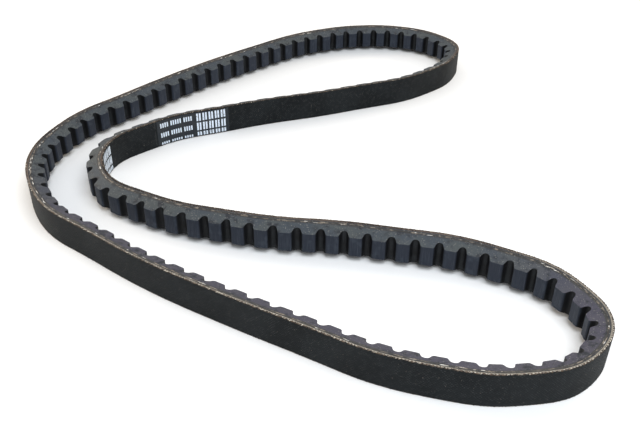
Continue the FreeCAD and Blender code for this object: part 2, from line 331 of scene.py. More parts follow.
@dataclass
class Form:
    """A small closed form about its own origin, to be repeated along the belt.

    Its coordinates are along the belt, towards the cogs, and up.
    """

    points: Grid
    faces: list[list[int]]

    @staticmethod
    def pebble(sides: int = 6, latitude: float = 32.0) -> "Form":
        """A unit pebble: two rings at opposite latitudes, between two poles."""
        angle = np.arange(sides) * TURN / sides
        tilt = math.radians(latitude)
        ring = np.stack([np.cos(angle), np.sin(angle), np.zeros(sides)], axis=-1) * math.cos(tilt)
        lift = np.array([0, 0, math.sin(tilt)])
        points = np.concatenate([[[0, 0, -1]], ring - lift, ring + lift, [[0, 0, 1]]])
        step = [(i, (i + 1) % sides) for i in range(sides)]
        faces = [[0, 1 + j, 1 + i] for i, j in step]
        faces += [[1 + i, 1 + j, 1 + sides + j, 1 + sides + i] for i, j in step]
        faces += [[1 + sides + i, 1 + sides + j, 1 + 2 * sides] for i, j in step]
        return Form(points, faces)

    @staticmethod
    def block() -> "Form":
        """A box from 0 to 1 in each direction, with one more ring half way along."""
        along, towards, up = np.meshgrid([0, 0.5, 1], [0, 1], [0, 1], indexing="ij")
        points = np.stack([along, towards, up], axis=-1).reshape(-1, 3).astype(float)
        faces = [[0, 1, 3, 2], [8, 10, 11, 9]]
        for first in (0, 4):
            faces += [[first, first + 4, first + 5, first + 1], [first + 2, first + 3, first + 7, first + 6],
                      [first, first + 2, first + 6, first + 4], [first + 1, first + 5, first + 7, first + 3]]
        return Form(points, faces)

    def repeated(self, name: str, belt: BeltLine, centres: Grid, sizes: Grid, shades: Grid,
                 lean: Grid | None = None, rough: float = 0.0, seed: int = 0) -> bpy.types.Mesh:
        """One mesh of many copies of the form.

        A copy's point is its centre plus its size times the form's point. A lean moves the points
        along the belt in proportion to their depth. Roughness scales each point by its own random
        share.

        Args:
            name: Name of the mesh.
            belt: The belt that carries the copies.
            centres: Station, depth and height of each copy.
            sizes: Size of each copy in those three directions.
            shades: Random number of each copy, kept as an attribute.
            lean: Lean of each copy, or None for upright copies.
            rough: Largest random change of a point, as a share of its distance from the centre.
            seed: Number that the random shares start from.

        Returns:
            The mesh, smooth shaded.
        """
        count, per_copy = len(centres), len(self.points)
        change = 1 + rough * np.random.default_rng(seed).uniform(-1, 1, (count, per_copy, 1))
        offsets = self.points[None] * sizes[:, None] * change
        if lean is not None:
            offsets[..., 0] += lean[:, None] * offsets[..., 1]
        spots = centres[:, None] + offsets
        points = belt.carry(spots[..., 0], spots[..., 1], spots[..., 2])
        first = np.arange(count) * per_copy
        faces = [[start + corner for corner in face] for start in first.tolist() for face in self.faces]
        mesh = bpy.data.meshes.new(name)
        mesh.from_pydata(points.reshape(-1, 3), [], faces)
        mesh.attributes.new(SHADE, "FLOAT", "POINT").data.foreach_set(
            "value", np.repeat(shades, per_copy).astype(np.float32))
        smooth(mesh, 50.0)
        return mesh


def place_piece(mesh: bpy.types.Mesh, materials: list[bpy.types.Material],
                replaces: tuple[str, ...] = ()) -> bpy.types.Object:
    """Args:
        mesh: The piece's mesh, with its place in it.
        materials: Materials of the mesh's slots.
        replaces: CAD nodes that the piece stands for.

    Returns:
        The new object.
    """
    piece = bpy.data.objects.new(mesh.name, mesh)
    bpy.context.scene.collection.objects.link(piece)
    for material in materials:
        mesh.materials.append(material)
    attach(piece, ROOT_BODY)
    if replaces:
        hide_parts(*replaces)
    log.info("%s: %d faces", piece.name, len(mesh.polygons))
    return piece


# ---- Shader expressions ----

@dataclass(frozen=True)
class Value:
    """A socket in an expression. Arithmetic on values adds Math nodes."""

    graph: "Graph"
    socket: bpy.types.NodeSocket

    def __add__(self, other: "Operand") -> "Value":
        """Sum."""
        return self.graph.math("ADD", self, other)

    def __radd__(self, other: "Operand") -> "Value":
        """Sum, from the right."""
        return self.graph.math("ADD", other, self)

    def __sub__(self, other: "Operand") -> "Value":
        """Difference."""
        return self.graph.math("SUBTRACT", self, other)

    def __rsub__(self, other: "Operand") -> "Value":
        """Difference, from the right."""
        return self.graph.math("SUBTRACT", other, self)

    def __mul__(self, other: "Operand") -> "Value":
        """Product."""
        return self.graph.math("MULTIPLY", self, other)

    def __rmul__(self, other: "Operand") -> "Value":
        """Product, from the right."""
        return self.graph.math("MULTIPLY", other, self)

    def __truediv__(self, other: "Operand") -> "Value":
        """Quotient."""
        return self.graph.math("DIVIDE", self, other)

    def __abs__(self) -> "Value":
        """Size without the sign."""
        return self.graph.math("ABSOLUTE", self)

    def sine(self) -> "Value":
        """Sine of the value in radians."""
        return self.graph.math("SINE", self)

    def between(self, low: float, high: float) -> "Value":
        """Smooth step: 0 at low, 1 at high. Low may be above high."""
        return self.graph.node("MapRange", {"interpolation_type": "SMOOTHSTEP"},
                               {"Value": self, "From Min": low, "From Max": high})


Operand = Value | float


class Graph:
    """The node tree of one material."""

    def __init__(self, name: str) -> None:
        """Makes the material with an empty tree."""
        self.material = bpy.data.materials.new(name)
        self.material.use_nodes = True
        self.tree = self.material.node_tree
        self.tree.nodes.clear()

    def node(self, kind: str, settings: dict | None = None, inputs: dict | None = None,
             output: int | str = 0) -> Value:
        """Adds a node.

        Args:
            kind: Type of the node, without ShaderNode in front.
            settings: Properties of the node, set first, with a ramp's stops as "stops".
            inputs: Values or links of its sockets, by name or place.
            output: Name or place of the socket that is wanted.

        Returns:
            That socket, for an expression.
        """
        node = self.tree.nodes.new(f"ShaderNode{kind}")
        for name, value in (settings or {}).items():
            if name == "stops":
                self.set_stops(node.color_ramp, value)
            else:
                setattr(node, name, value)
        for place, value in (inputs or {}).items():
            if isinstance(value, Value):
                self.tree.links.new(value.socket, node.inputs[place])
            else:
                node.inputs[place].default_value = value
        return Value(self, node.outputs[output])

    @staticmethod
    def set_stops(ramp: bpy.types.ColorRamp, stops: list[tuple[float, Colour]]) -> None:
        """Gives a ramp its stops, a place and a colour each."""
        while len(ramp.elements) < len(stops):
            ramp.elements.new(1.0)
        for element, (place, colour) in zip(ramp.elements, stops):
            element.position = place
            element.color = colour

    def math(self, operation: str, *values: Operand) -> Value:
        """A Math node of one or two operands."""
        return self.node("Math", {"operation": operation}, dict(enumerate(values)))

    def mix(self, share: Operand, first: Value | Colour, second: Value | Colour) -> Value:
        """A colour between two others, the second where the share is 1."""
        return self.node("Mix", {"data_type": "RGBA"}, {0: share, 6: first, 7: second}, 2)

    def uv(self, label: str) -> tuple[Value, Value]:
        """The two coordinates of a UV map."""
        place = self.node("UVMap", {"uv_map": label})
        across = self.node("SeparateXYZ", {}, {0: place})
        return across, Value(self, across.socket.node.outputs[1])

    def place(self) -> Value:
        """Object coordinates."""
        return self.node("TexCoord", {}, {}, "Object")

    def flat(self, across: Operand, up: Operand) -> Value:
        """A vector of two values."""
        return self.node("CombineXYZ", {}, {0: across, 1: up})

    def noise(self, size: float, detail: float = 3.0, at: Value | None = None) -> Value:
        """Random clouds of about a size in metres, from 0 to 1, at Object coordinates by default."""
        return self.node("TexNoise", {"noise_dimensions": "3D"},
                         {"Vector": at or self.place(), "Scale": 1 / size, "Detail": detail})

    def ramp(self, value: Value, *stops: tuple[float, Colour]) -> Value:
        """A colour that depends on a value."""
        return self.node("ValToRGB", {"stops": list(stops)}, {0: value})

    def bump(self, height: Value, reach: float, under: Value | None = None) -> Value:
        """A normal from a height of 0 to 1, times a reach in metres."""
        inputs = {"Height": height, "Distance": reach, "Strength": 1.0}
        if under is not None:
            inputs["Normal"] = under
        return self.node("Bump", {}, inputs)

    def surface(self, colour: Value | Colour, roughness: Operand, normal: Value,
                **constants: float) -> bpy.types.Material:
        """Ends the tree in a shader.

        Args:
            colour: Base colour.
            roughness: Roughness.
            normal: Normal.
            constants: Other sockets of the shader, with underscores for the spaces in their names.

        Returns:
            The material.
        """
        inputs = {"Base Color": colour, "Roughness": roughness, "Normal": normal}
        inputs |= {name.replace("_", " "): value for name, value in constants.items()}
        shader = self.node("BsdfPrincipled", {}, inputs)
        output = self.tree.nodes.new("ShaderNodeOutputMaterial")
        self.tree.links.new(shader.socket, output.inputs["Surface"])
        return self.material


def grey(level: float, warm: float = 0.0) -> Colour:
    """A grey of a linear level, warmer for a positive share and bluer for a negative one."""
    return (level * (1 + warm), level, level * (1 - warm), 1.0)


# ---- Finishes ----

@dataclass(frozen=True)
class Stretch:
    """A stretch of the belt that fades in and out at its ends, as stations along the cord."""

    start: float
    end: float
    fade: float

    def share(self, station: Value) -> Value:
        """1 inside the stretch and 0 outside it."""
        rising = station.between(self.start - self.fade, self.start)
        return rising * station.between(self.end + self.fade, self.end)


# The near strand's stretch: its cut ply edges get painted light, and its ground flank a violet tint.
NEAR_STRAND_STRETCH = Stretch(270 * MM, 470 * MM, 60 * MM)   # near strand, where the cut edge is palest


@dataclass(frozen=True)
class RubberisedFabric:
    """Dark bias-cut fabric with rubber worked into it, worn brown along its edges."""

    threads_round: int
    length: float
    width: float
    lap_station: float
    lap_width: float = 0.45 * MM
    edge_wear: float = 0.35 * MM
    dark: Colour = (0.0024, 0.0038, 0.0048, 1.0)
    light: Colour = (0.0078, 0.0102, 0.0118, 1.0)
    crown: Colour = (0.034, 0.037, 0.038, 1.0)
    lint: Colour = grey(0.16, 0.14)
    worn: Colour = (0.155, 0.105, 0.066, 1.0)

    def material(self) -> bpy.types.Material:
        """Two families of threads cross at 45 degrees; each crossing is a small pillow."""
        g = Graph("rubberised_fabric")
        station, around = g.uv(BELT_UV)
        _, height = g.uv(SECTION_UV)
        spacing = self.length / self.threads_round
        one = ((station + around) * (math.pi / spacing)).sine()
        other = ((station - around) * (math.pi / spacing)).sine()
        pillow = abs(one * other)
        coat = g.noise(1.3 * MM, 4.0)
        clouds = g.noise(16 * MM, 3.0).between(0.35, 0.68)
        bare = pillow * coat.between(0.38, 0.62)
        colour = g.mix(clouds * 0.75 + coat * 0.25, self.dark, self.light)
        colour = g.mix(bare.between(0.3, 1.0) * 0.8, colour, self.crown)
        lap = (1 - (abs(station - self.lap_station)).between(0, self.lap_width)) * coat.between(0.3, 0.5)
        colour = g.mix(lap * 0.5, colour, self.crown)
        colour = g.mix(g.noise(0.42 * MM, 1.0).between(0.74, 0.80), colour, self.lint)
        to_edge = g.math("MINIMUM", height, self.width - height)
        fray = g.noise(0.55 * MM, 2.0)
        worn = (1 - to_edge.between(0, self.edge_wear)) * fray.between(0.42, 0.6)
        colour = g.mix(worn * 0.7, colour, self.worn)
        weave = g.bump(pillow * (0.4 + 0.6 * coat), 0.09 * MM)
        normal = g.bump(g.noise(5 * MM, 5.0), 0.25 * MM, weave)
        return g.surface(colour, 0.58 + 0.22 * coat, normal, Specular_IOR_Level=0.17)


@dataclass(frozen=True)
class CutThreads:
    """Cut ends of fabric threads at a raw edge: tan and brown fibres between dark rubber."""

    name: str
    tan: Colour
    brown: Colour
    # The pale colour is the painted light on the near strand's stretch.
    pale: Colour
    spacing: float
    dark: Colour = (0.011, 0.0085, 0.0095, 1.0)
    tan_share: float = 0.5
    bias: float = 0.8
    # The next two set how strong the painted light on the near strand's stretch is.
    painted_light_base: float = 0.35
    painted_light_strokes: float = 0.5

    def material(self) -> bpy.types.Material:
        """Strokes lean across the edge, one for each thread, and clouds choose how dark each is.

        The near strand's stretch gets painted light: more tan, a pale wash, and pale fibre at the middle of
        each stroke.
        """
        g = Graph(self.name)
        station, _ = g.uv(BELT_UV)
        depth, _ = g.uv(SECTION_UV)
        stretches = g.noise(21 * MM, 2.0).between(0.3, 0.7)
        grain = g.noise(0.62 * MM, 3.0)
        fibre = g.noise(0.2 * MM, 2.0)
        leaning = station + self.bias * depth
        stroke = abs((leaning * (math.pi / self.spacing)).sine())
        each = g.noise(1.0, 1.0, g.flat(leaning / self.spacing, depth / (3 * MM)))
        # Painted light on the near strand's stretch: more tan, a pale wash, and pale stroke middles.
        painted_near_light = NEAR_STRAND_STRETCH.share(station)
        share = (0.45 * grain + 0.25 * stretches + 0.3 * each + 0.26 * painted_near_light
                 + 0.12 * stroke + 0.3 * self.tan_share)
        colour = g.mix(fibre.between(0.3, 0.7), self.brown, self.tan)
        colour = g.mix(share.between(0.60, 0.82), self.dark, colour)
        painted_stroke_light = painted_near_light * stroke.between(0.62, 0.86) * each.between(0.36, 0.5)
        colour = g.mix(painted_near_light * (self.painted_light_base + 0.3 * grain - 0.15), colour, self.pale)
        colour = g.mix(painted_stroke_light * self.painted_light_strokes, colour, self.pale)
        return g.surface(colour, 0.75, g.bump(fibre * 0.3 + grain * 0.3 + stroke * 0.4, 0.16 * MM),
                         Specular_IOR_Level=0.2)


@dataclass(frozen=True)
class ThreadEnds:
    """Cut ends that stand out of the edge, each in a shade of its own."""

    name: str = "thread_ends"
    dark: Colour = grey(0.012, 0.06)
    tan: Colour = (0.13, 0.10, 0.075, 1.0)
    pale: Colour = (0.48, 0.44, 0.37, 1.0)

    def material(self) -> bpy.types.Material:
        """A ramp from dark through tan to pale, chosen by the random number of each end."""
        g = Graph(self.name)
        shade = g.node("Attribute", {"attribute_name": SHADE}, {}, "Fac")
        fibre = g.noise(0.18 * MM, 2.0)
        stops = ((0.0, self.dark), (0.34, self.dark), (0.5, self.tan), (0.72, self.tan), (0.9, self.pale))
        colour = g.ramp(shade + 0.35 * (fibre - 0.5), *stops)
        return g.surface(colour, 0.7, g.bump(fibre, 0.08 * MM), Specular_IOR_Level=0.3)


@dataclass(frozen=True)
class CordFibre:
    """Polyester cord: pale fibres in twisted yarns, stained with rubber."""

    name: str
    pale: Colour = (0.55, 0.5, 0.42, 1.0)
    stained: Colour = (0.19, 0.14, 0.10, 1.0)
    dark: Colour = grey(0.02, 0.08)
    dark_share: float = 0.4

    def material(self) -> bpy.types.Material:
        """Grain chooses pale or stained fibre, and clouds of rubber cover part of it."""
        g = Graph(self.name)
        fibre = g.noise(0.15 * MM, 3.0)
        cover = g.noise(2.4 * MM, 4.0)
        colour = g.mix(fibre.between(0.35, 0.7), self.stained, self.pale)
        edge = 0.2 + 0.6 * self.dark_share
        colour = g.mix(1 - cover.between(edge - 0.08, edge + 0.08), colour, self.dark)
        return g.surface(colour, 0.6, g.bump(fibre, 0.07 * MM), Specular_IOR_Level=0.3, Sheen_Weight=0.1)


@dataclass(frozen=True)
class GroundRubber:
    """Raw-edge rubber, ground to the groove angle: slate grey, with fine lines and chopped fibre."""

    name: str
    slate: Colour = (0.039, 0.049, 0.061, 1.0)
    green: Colour = (0.052, 0.061, 0.064, 1.0)
    dark: Colour = (0.016, 0.019, 0.025, 1.0)
    fibre: Colour = (0.17, 0.17, 0.16, 1.0)
    violet: Colour = (0.060, 0.048, 0.078, 1.0)
    cast: float = 0.0

    def material(self) -> bpy.types.Material:
        """Clouds of two greys, darker smears, grain from the grinding wheel, and pale fibre specks.

        A cast above 0 tints the near strand's stretch violet, on a piece that has the belt's UV map.
        """
        g = Graph(self.name)
        clouds = g.noise(9 * MM, 4.0).between(0.35, 0.65)
        smears = g.noise(2.6 * MM, 4.0)
        grain = g.noise(0.28 * MM, 3.0)
        specks = g.noise(0.36 * MM, 0.0)
        colour = g.mix(clouds, self.slate, self.green)
        if self.cast > 0:
            station, _ = g.uv(BELT_UV)
            colour = g.mix(NEAR_STRAND_STRETCH.share(station) * self.cast, colour, self.violet)
        colour = g.mix(1 - smears.between(0.30, 0.5), colour, self.dark)
        colour = g.mix((1 - grain.between(0.25, 0.6)) * 0.35, colour, self.dark)
        colour = g.mix(specks.between(0.72, 0.78), colour, self.fibre)
        normal = g.bump(grain * 0.7 + smears * 0.3, 0.10 * MM)
        return g.surface(colour, 0.55 + 0.2 * smears, normal, Specular_IOR_Level=0.3)


@dataclass(frozen=True)
class MouldedRubber:
    """The skin of the cogs and notches, as it left the mould: darker, with painted shade deep in the
    notches, and lines across the belt.
    """

    tip_depth: float
    root_depth: float
    tip: Colour = (0.0130, 0.0180, 0.0300, 1.0)
    # The root colour is painted shade for the notch walls and roots, below the lit cog tips.
    root: Colour = (0.0022, 0.0026, 0.0036, 1.0)
    bloom: Colour = (0.038, 0.048, 0.064, 1.0)
    # The root line colour is a painted highlight along the round bottom of each notch.
    notch_root_highlight: Colour = (0.010, 0.012, 0.014, 1.0)

    def material(self) -> bpy.types.Material:
        """The colour darkens quickly below the cog tips, a painted shade in the notches, and streaks run
        across the belt.

        A paler line along the bottom of each notch root is a painted highlight on the round root.
        """
        g = Graph("moulded_rubber")
        depth, height = g.uv(SECTION_UV)
        station, _ = g.uv(BELT_UV)
        # Painted shade: a depth mask darkens the colour from the cog tips down into the notches.
        unshaded_tip_share = depth.between(self.tip_depth - 0.85 * MM, self.tip_depth - 0.03 * MM)
        streaks = g.noise(1.0, 3.0, g.flat(station / (0.32 * MM), height / (9 * MM)))
        clouds = g.noise(3.5 * MM, 4.0)
        colour = g.mix(unshaded_tip_share, self.root, self.tip)
        # Painted highlight: a paler line along each notch root, in patches.
        low = 1 - depth.between(self.root_depth + 0.05 * MM, self.root_depth + 0.35 * MM)
        colour = g.mix(low * clouds.between(0.35, 0.6), colour, self.notch_root_highlight)
        colour = g.mix(streaks.between(0.48, 0.7) * unshaded_tip_share * 0.6, colour, self.bloom)
        colour = g.mix(clouds.between(0.52, 0.72) * unshaded_tip_share * 0.6, colour, self.bloom)
        normal = g.bump(streaks * 0.6 + clouds * 0.4, 0.12 * MM)
        return g.surface(colour, 0.46 + 0.25 * clouds, normal, Specular_IOR_Level=0.24)


@dataclass(frozen=True)
class TransferFilm:
    """Blue-black film of a printed transfer, bonded to the fabric so that the weave shows."""

    film: Colour = (0.0065, 0.0110, 0.0165, 1.0)
    rubbed: Colour = (0.016, 0.020, 0.024, 1.0)

    def material(self) -> bpy.types.Material:
        """Rubbed clouds on a smooth dark film."""
        g = Graph("transfer_film")
        rub = g.noise(2.2 * MM, 4.0)
        colour = g.mix(rub.between(0.4, 0.75), self.film, self.rubbed)
        return g.surface(colour, 0.38 + 0.2 * rub, g.bump(rub, 0.06 * MM), Specular_IOR_Level=0.35)


@dataclass(frozen=True)
class TransferInk:
    """White print of a transfer, worn through in places."""

    ink: Colour = (0.66, 0.74, 0.84, 1.0)
    thin: Colour = (0.25, 0.31, 0.38, 1.0)
    film: Colour = (0.02, 0.028, 0.036, 1.0)

    def material(self) -> bpy.types.Material:
        """Fine grain thins the ink, and a few spots go through to the film."""
        g = Graph("transfer_ink")
        grain = g.noise(0.3 * MM, 3.0)
        colour = g.mix(1 - grain.between(0.3, 0.46), self.ink, self.thin)
        colour = g.mix(1 - g.noise(0.7 * MM, 3.0).between(0.28, 0.36), colour, self.film)
        return g.surface(colour, 0.5, g.bump(grain, 0.02 * MM), Specular_IOR_Level=0.4)


@dataclass(frozen=True)
class PaleFloor:
    """Plain pale studio floor."""

    white: Colour = grey(0.86)
    shade: Colour = grey(0.83)

    def material(self) -> bpy.types.Material:
        """Faint clouds of two pale greys."""
        g = Graph("pale_floor")
        clouds = g.noise(90 * MM, 2.0)
        return g.surface(g.mix(clouds, self.white, self.shade), 0.9, g.bump(clouds, 0.01 * MM),
                         Specular_IOR_Level=0.1)


# ---- Layers of the belt ----

class Edge(Enum):
    """The two raw edges of the belt, with the direction that is outwards."""

    LOWER = -1
    UPPER = 1


@dataclass
class EdgeRag:
    """How ragged a layer's cut edge is: how far it is cut back, and the size of its teeth."""

    belt: BeltLine
    seed: int
    cut_back: float = 0.05 * MM
    depth: float = 0.045 * MM
    tooth: float = 0.85 * MM

    def recess(self, station: Grid, line: int) -> Grid:
        """How far below the full width one line of the edge lies at each station.

        The recess is the cut-back plus short teeth and longer waves, and never less than zero.
        """
        teeth = self.belt.noise(self.seed + 7 * line, station, self.tooth)
        waves = self.belt.noise(self.seed + 7 * line + 3, station, 9 * self.tooth)
        return np.maximum(self.cut_back + self.depth * (0.7 * teeth + 0.6 * waves), 0)


@dataclass
class FabricPly:
    """One ply of rubberised fabric, with ragged cut edges that follow the section.

    The section runs counterclockwise: the lower edge, the face towards the cogs, the upper edge, and
    the face towards the back.
    """

    belt: BeltLine
    section: BeltSection
    name: str
    top: float
    bottom: float
    rag: EdgeRag
    corner: float
    rows: int
    lap_station: float | None = None
    lap_rise: float = 0.1 * MM
    lap_length: float = 0.5 * MM
    back_lines: int = 7
    edge_lines: int = 4
    corner_lines: int = 3

    def face_waves(self, station: Grid) -> Grid:
        """How far the outer face stands out: slow waves, and the ridge where the fabric laps."""
        waves = 0.03 * MM * self.belt.noise(self.rag.seed + 90, station, 11 * MM)
        if self.lap_station is None:
            return waves
        return waves + self.lap_rise * np.exp(-((station - self.lap_station) / self.lap_length) ** 2)

    def grid(self) -> Surface:
        """Each edge is a rounded corner and a few ragged lines; the faces are straight between them."""
        station = np.arange(self.rows) * self.belt.cord_length / self.rows
        width = self.section.width
        face = self.face_waves(station)[:, None]
        share = np.linspace(0, 1, self.edge_lines)
        edge_depth = self.top + self.corner + share * (self.bottom - self.top - self.corner)
        recess = np.stack([self.rag.recess(station, line) for line in range(2 * self.edge_lines)], axis=1)
        bend = np.linspace(0, math.pi / 2, self.corner_lines + 1)[1:]
        arc_depth = self.top + self.corner * (1 - np.sin(bend))
        arc_recess = self.corner * (1 - np.cos(bend))
        back = np.linspace(1, 0, self.back_lines + 2)[1:-1]
        low_recess, high_recess = recess[:, :self.edge_lines], recess[:, self.edge_lines:]
        ones = np.ones((self.rows, 1))
        depth = np.concatenate([
            edge_depth * ones, edge_depth[::-1] * ones, arc_depth * ones - face,
            self.top * np.ones((self.rows, self.back_lines)) - face, arc_depth[::-1] * ones - face], axis=1)
        height = np.concatenate([
            self.section.low(edge_depth) + low_recess,
            (self.section.high(edge_depth) - high_recess)[:, ::-1],
            width - high_recess[:, :1] - arc_recess * ones,
            low_recess[:, :1] + self.corner + back * (width - 2 * self.corner - high_recess[:, :1]
                                                      - low_recess[:, :1]),
            low_recess[:, :1] + arc_recess[::-1] * ones], axis=1)
        return Surface(self.belt, station, depth, height)

    def slots(self) -> Grid:
        """The second material for the two cut edges, the first for the rest."""
        columns = 2 * self.edge_lines + 2 * self.corner_lines + self.back_lines
        slots = np.zeros(columns, dtype=np.int32)
        slots[:self.edge_lines - 1] = 1
        slots[self.edge_lines:2 * self.edge_lines - 1] = 1
        return slots

    def build(self, face: bpy.types.Material, edge: bpy.types.Material, slot: str) -> bpy.types.Object:
        """Makes the ply in place of its CAD node.

        Args:
            face: Material of its two faces.
            edge: Material of its cut edges.
            slot: Not used.

        Returns:
            The ply.
        """
        mesh = self.grid().mesh(f"{self.name}_cloth", self.slots(), 60.0)
        return place_piece(mesh, [face, edge], (self.name,))


@dataclass
class ThreadFringe:
    """The cut ends of bias threads, standing a little proud of one edge of the back."""

    belt: BeltLine
    section: BeltSection
    threads: int
    edge: Edge
    seed: int
    size: tuple[float, float, float] = (0.27 * MM, 0.26 * MM, 0.15 * MM)
    depth: float = 0.22 * MM
    inset: float = 0.10 * MM
    bias: float = 0.9

    def build(self, material: bpy.types.Material, slot: str) -> bpy.types.Object:
        """One pebble for each thread, evenly spaced with a small random shift."""
        draw = np.random.default_rng(self.seed)
        spacing = self.belt.cord_length / self.threads
        station = (np.arange(self.threads) + draw.uniform(-0.18, 0.18, self.threads)) * spacing
        depth = self.depth + draw.uniform(-0.05, 0.07, self.threads) * MM
        inset = self.inset + draw.uniform(-0.03, 0.05, self.threads) * MM
        height = inset if self.edge is Edge.LOWER else self.section.width - inset
        sizes = np.array(self.size) * draw.uniform(0.75, 1.2, (self.threads, 3))
        shades = draw.uniform(0, 1, self.threads)
        lean = np.full(self.threads, self.bias * self.edge.value)
        mesh = Form.pebble().repeated(f"{self.edge.name.lower()}_thread_ends", self.belt,
                                      np.stack([station, depth, height], axis=-1), sizes, shades,
                                      lean, 0.14, self.seed + 1)
        return place_piece(mesh, [material])


@dataclass
class CutCord:
    """The turn of cord that the cut has laid open along one flank, with loose slivers of fibre.

    The open cord is a band of lens-shaped section that lies in the flank at the cord's depth. Its
    width comes and goes along the belt.
    """

    belt: BeltLine
    section: BeltSection
    edge: Edge
    seed: int
    rows: int = 2600
    half_width: float = 0.22 * MM
    proud: float = 0.05 * MM
    sunk: float = 0.18 * MM
    sides: int = 8
    slivers: int = 330

    def flank(self, depth: Grid) -> Grid:
        """Height of this flank at a depth."""
        return self.section.low(depth) if self.edge is Edge.LOWER else self.section.high(depth)

    def build_band(self, material: bpy.types.Material) -> bpy.types.Object:
        """A closed lens: an outer arc that stands proud of the flank, and an inner one sunk in it."""
        station = np.arange(self.rows) * self.belt.cord_length / self.rows
        width = self.half_width * (1 + 0.45 * self.belt.noise(self.seed, station, 2.3 * MM)
                                   + 0.25 * self.belt.noise(self.seed + 1, station, 0.9 * MM))[:, None]
        middle = (self.section.cord_depth + 0.1 * MM * self.belt.noise(self.seed + 2, station, 14 * MM))
        turn = np.arange(self.sides) * TURN / self.sides
        across, out = np.cos(turn), np.sin(turn)
        lift = np.where(out > 0, self.proud, self.sunk) * out
        depth = middle[:, None] + width * across
        height = self.flank(depth) + self.edge.value * lift
        if self.edge is Edge.LOWER:
            depth, height = depth[:, ::-1], height[:, ::-1]
        mesh = Surface(self.belt, station, depth, height).mesh(f"{self.edge.name.lower()}_cut_cord")
        return place_piece(mesh, [material])

    def build_slivers(self, material: bpy.types.Material) -> bpy.types.Object:
        """Long thin pebbles of fibre, in clusters where a slow random line is high."""
        draw = np.random.default_rng(self.seed + 5)
        tries = draw.uniform(0, self.belt.cord_length, 8 * self.slivers)
        wanted = 0.5 + 0.5 * self.belt.noise(self.seed + 6, tries, 16 * MM)
        station = tries[draw.uniform(0, 1, len(tries)) < wanted ** 2][:self.slivers]
        count = len(station)
        depth = self.section.cord_depth + draw.uniform(-0.28, 0.34, count) * MM
        height = self.flank(depth) + self.edge.value * 0.03 * MM
        sizes = np.stack([draw.uniform(0.35, 1.5, count), draw.uniform(0.08, 0.15, count),
                          draw.uniform(0.05, 0.10, count)], axis=-1) * MM
        mesh = Form.pebble().repeated(f"{self.edge.name.lower()}_cord_slivers", self.belt,
                                      np.stack([station, depth, height], axis=-1), sizes,
                                      draw.uniform(0.3, 1, count), None, 0.15, self.seed + 7)
        return place_piece(mesh, [material])


# ---- Compression rubber ----

@dataclass(frozen=True)
class NotchShape:
    """Outline of one notch and the cog tip after it, as depths at offsets along the belt.

    Half a notch is a round root, a side that leans out, and a round cog corner that ends level with
    the cog tip. The other half is its mirror image, and the cog tip is flat.
    """

    pitch: float
    tip_depth: float
    notch_depth: float = 2.5 * MM
    root_radius: float = 1.45 * MM
    side_angle: float = math.radians(22)
    corner_radius: float = 0.9 * MM
    root_steps: int = 5
    side_steps: int = 3
    corner_steps: int = 5
    tip_steps: int = 7

    def half(self) -> Grid:
        """The right half as complex numbers: offset along the belt, plus depth times i."""
        lean, radius, corner = self.side_angle, self.root_radius, self.corner_radius
        root_centre = 1j * (self.tip_depth - self.notch_depth + radius)
        corner_level = self.tip_depth - corner
        shift = (corner_level - root_centre.imag) * math.sin(lean)
        corner_centre = (corner + radius + shift) / math.cos(lean) + 1j * corner_level
        across_side = np.exp(-1j * lean)
        root = root_centre - 1j * radius * np.exp(
            1j * np.linspace(0, math.pi / 2 - lean, self.root_steps + 1))
        side_end = corner_centre - corner * across_side
        side = root[-1] + (side_end - root[-1]) * np.linspace(0, 1, self.side_steps + 1)[1:]
        turned = corner_centre + corner * np.exp(
            1j * np.linspace(math.pi - lean, math.pi / 2, self.corner_steps + 1))[1:]
        return np.concatenate([root, side, turned])

    def outline(self) -> Grid:
        """One notch from cog corner to cog corner, then the flat tip up to the next notch."""
        half = self.half()
        mouth = half[-1].real
        land = mouth + (self.pitch - 2 * mouth) * np.arange(1, self.tip_steps) / self.tip_steps
        return np.concatenate([-half[:0:-1].conjugate(), half, land + 1j * self.tip_depth])


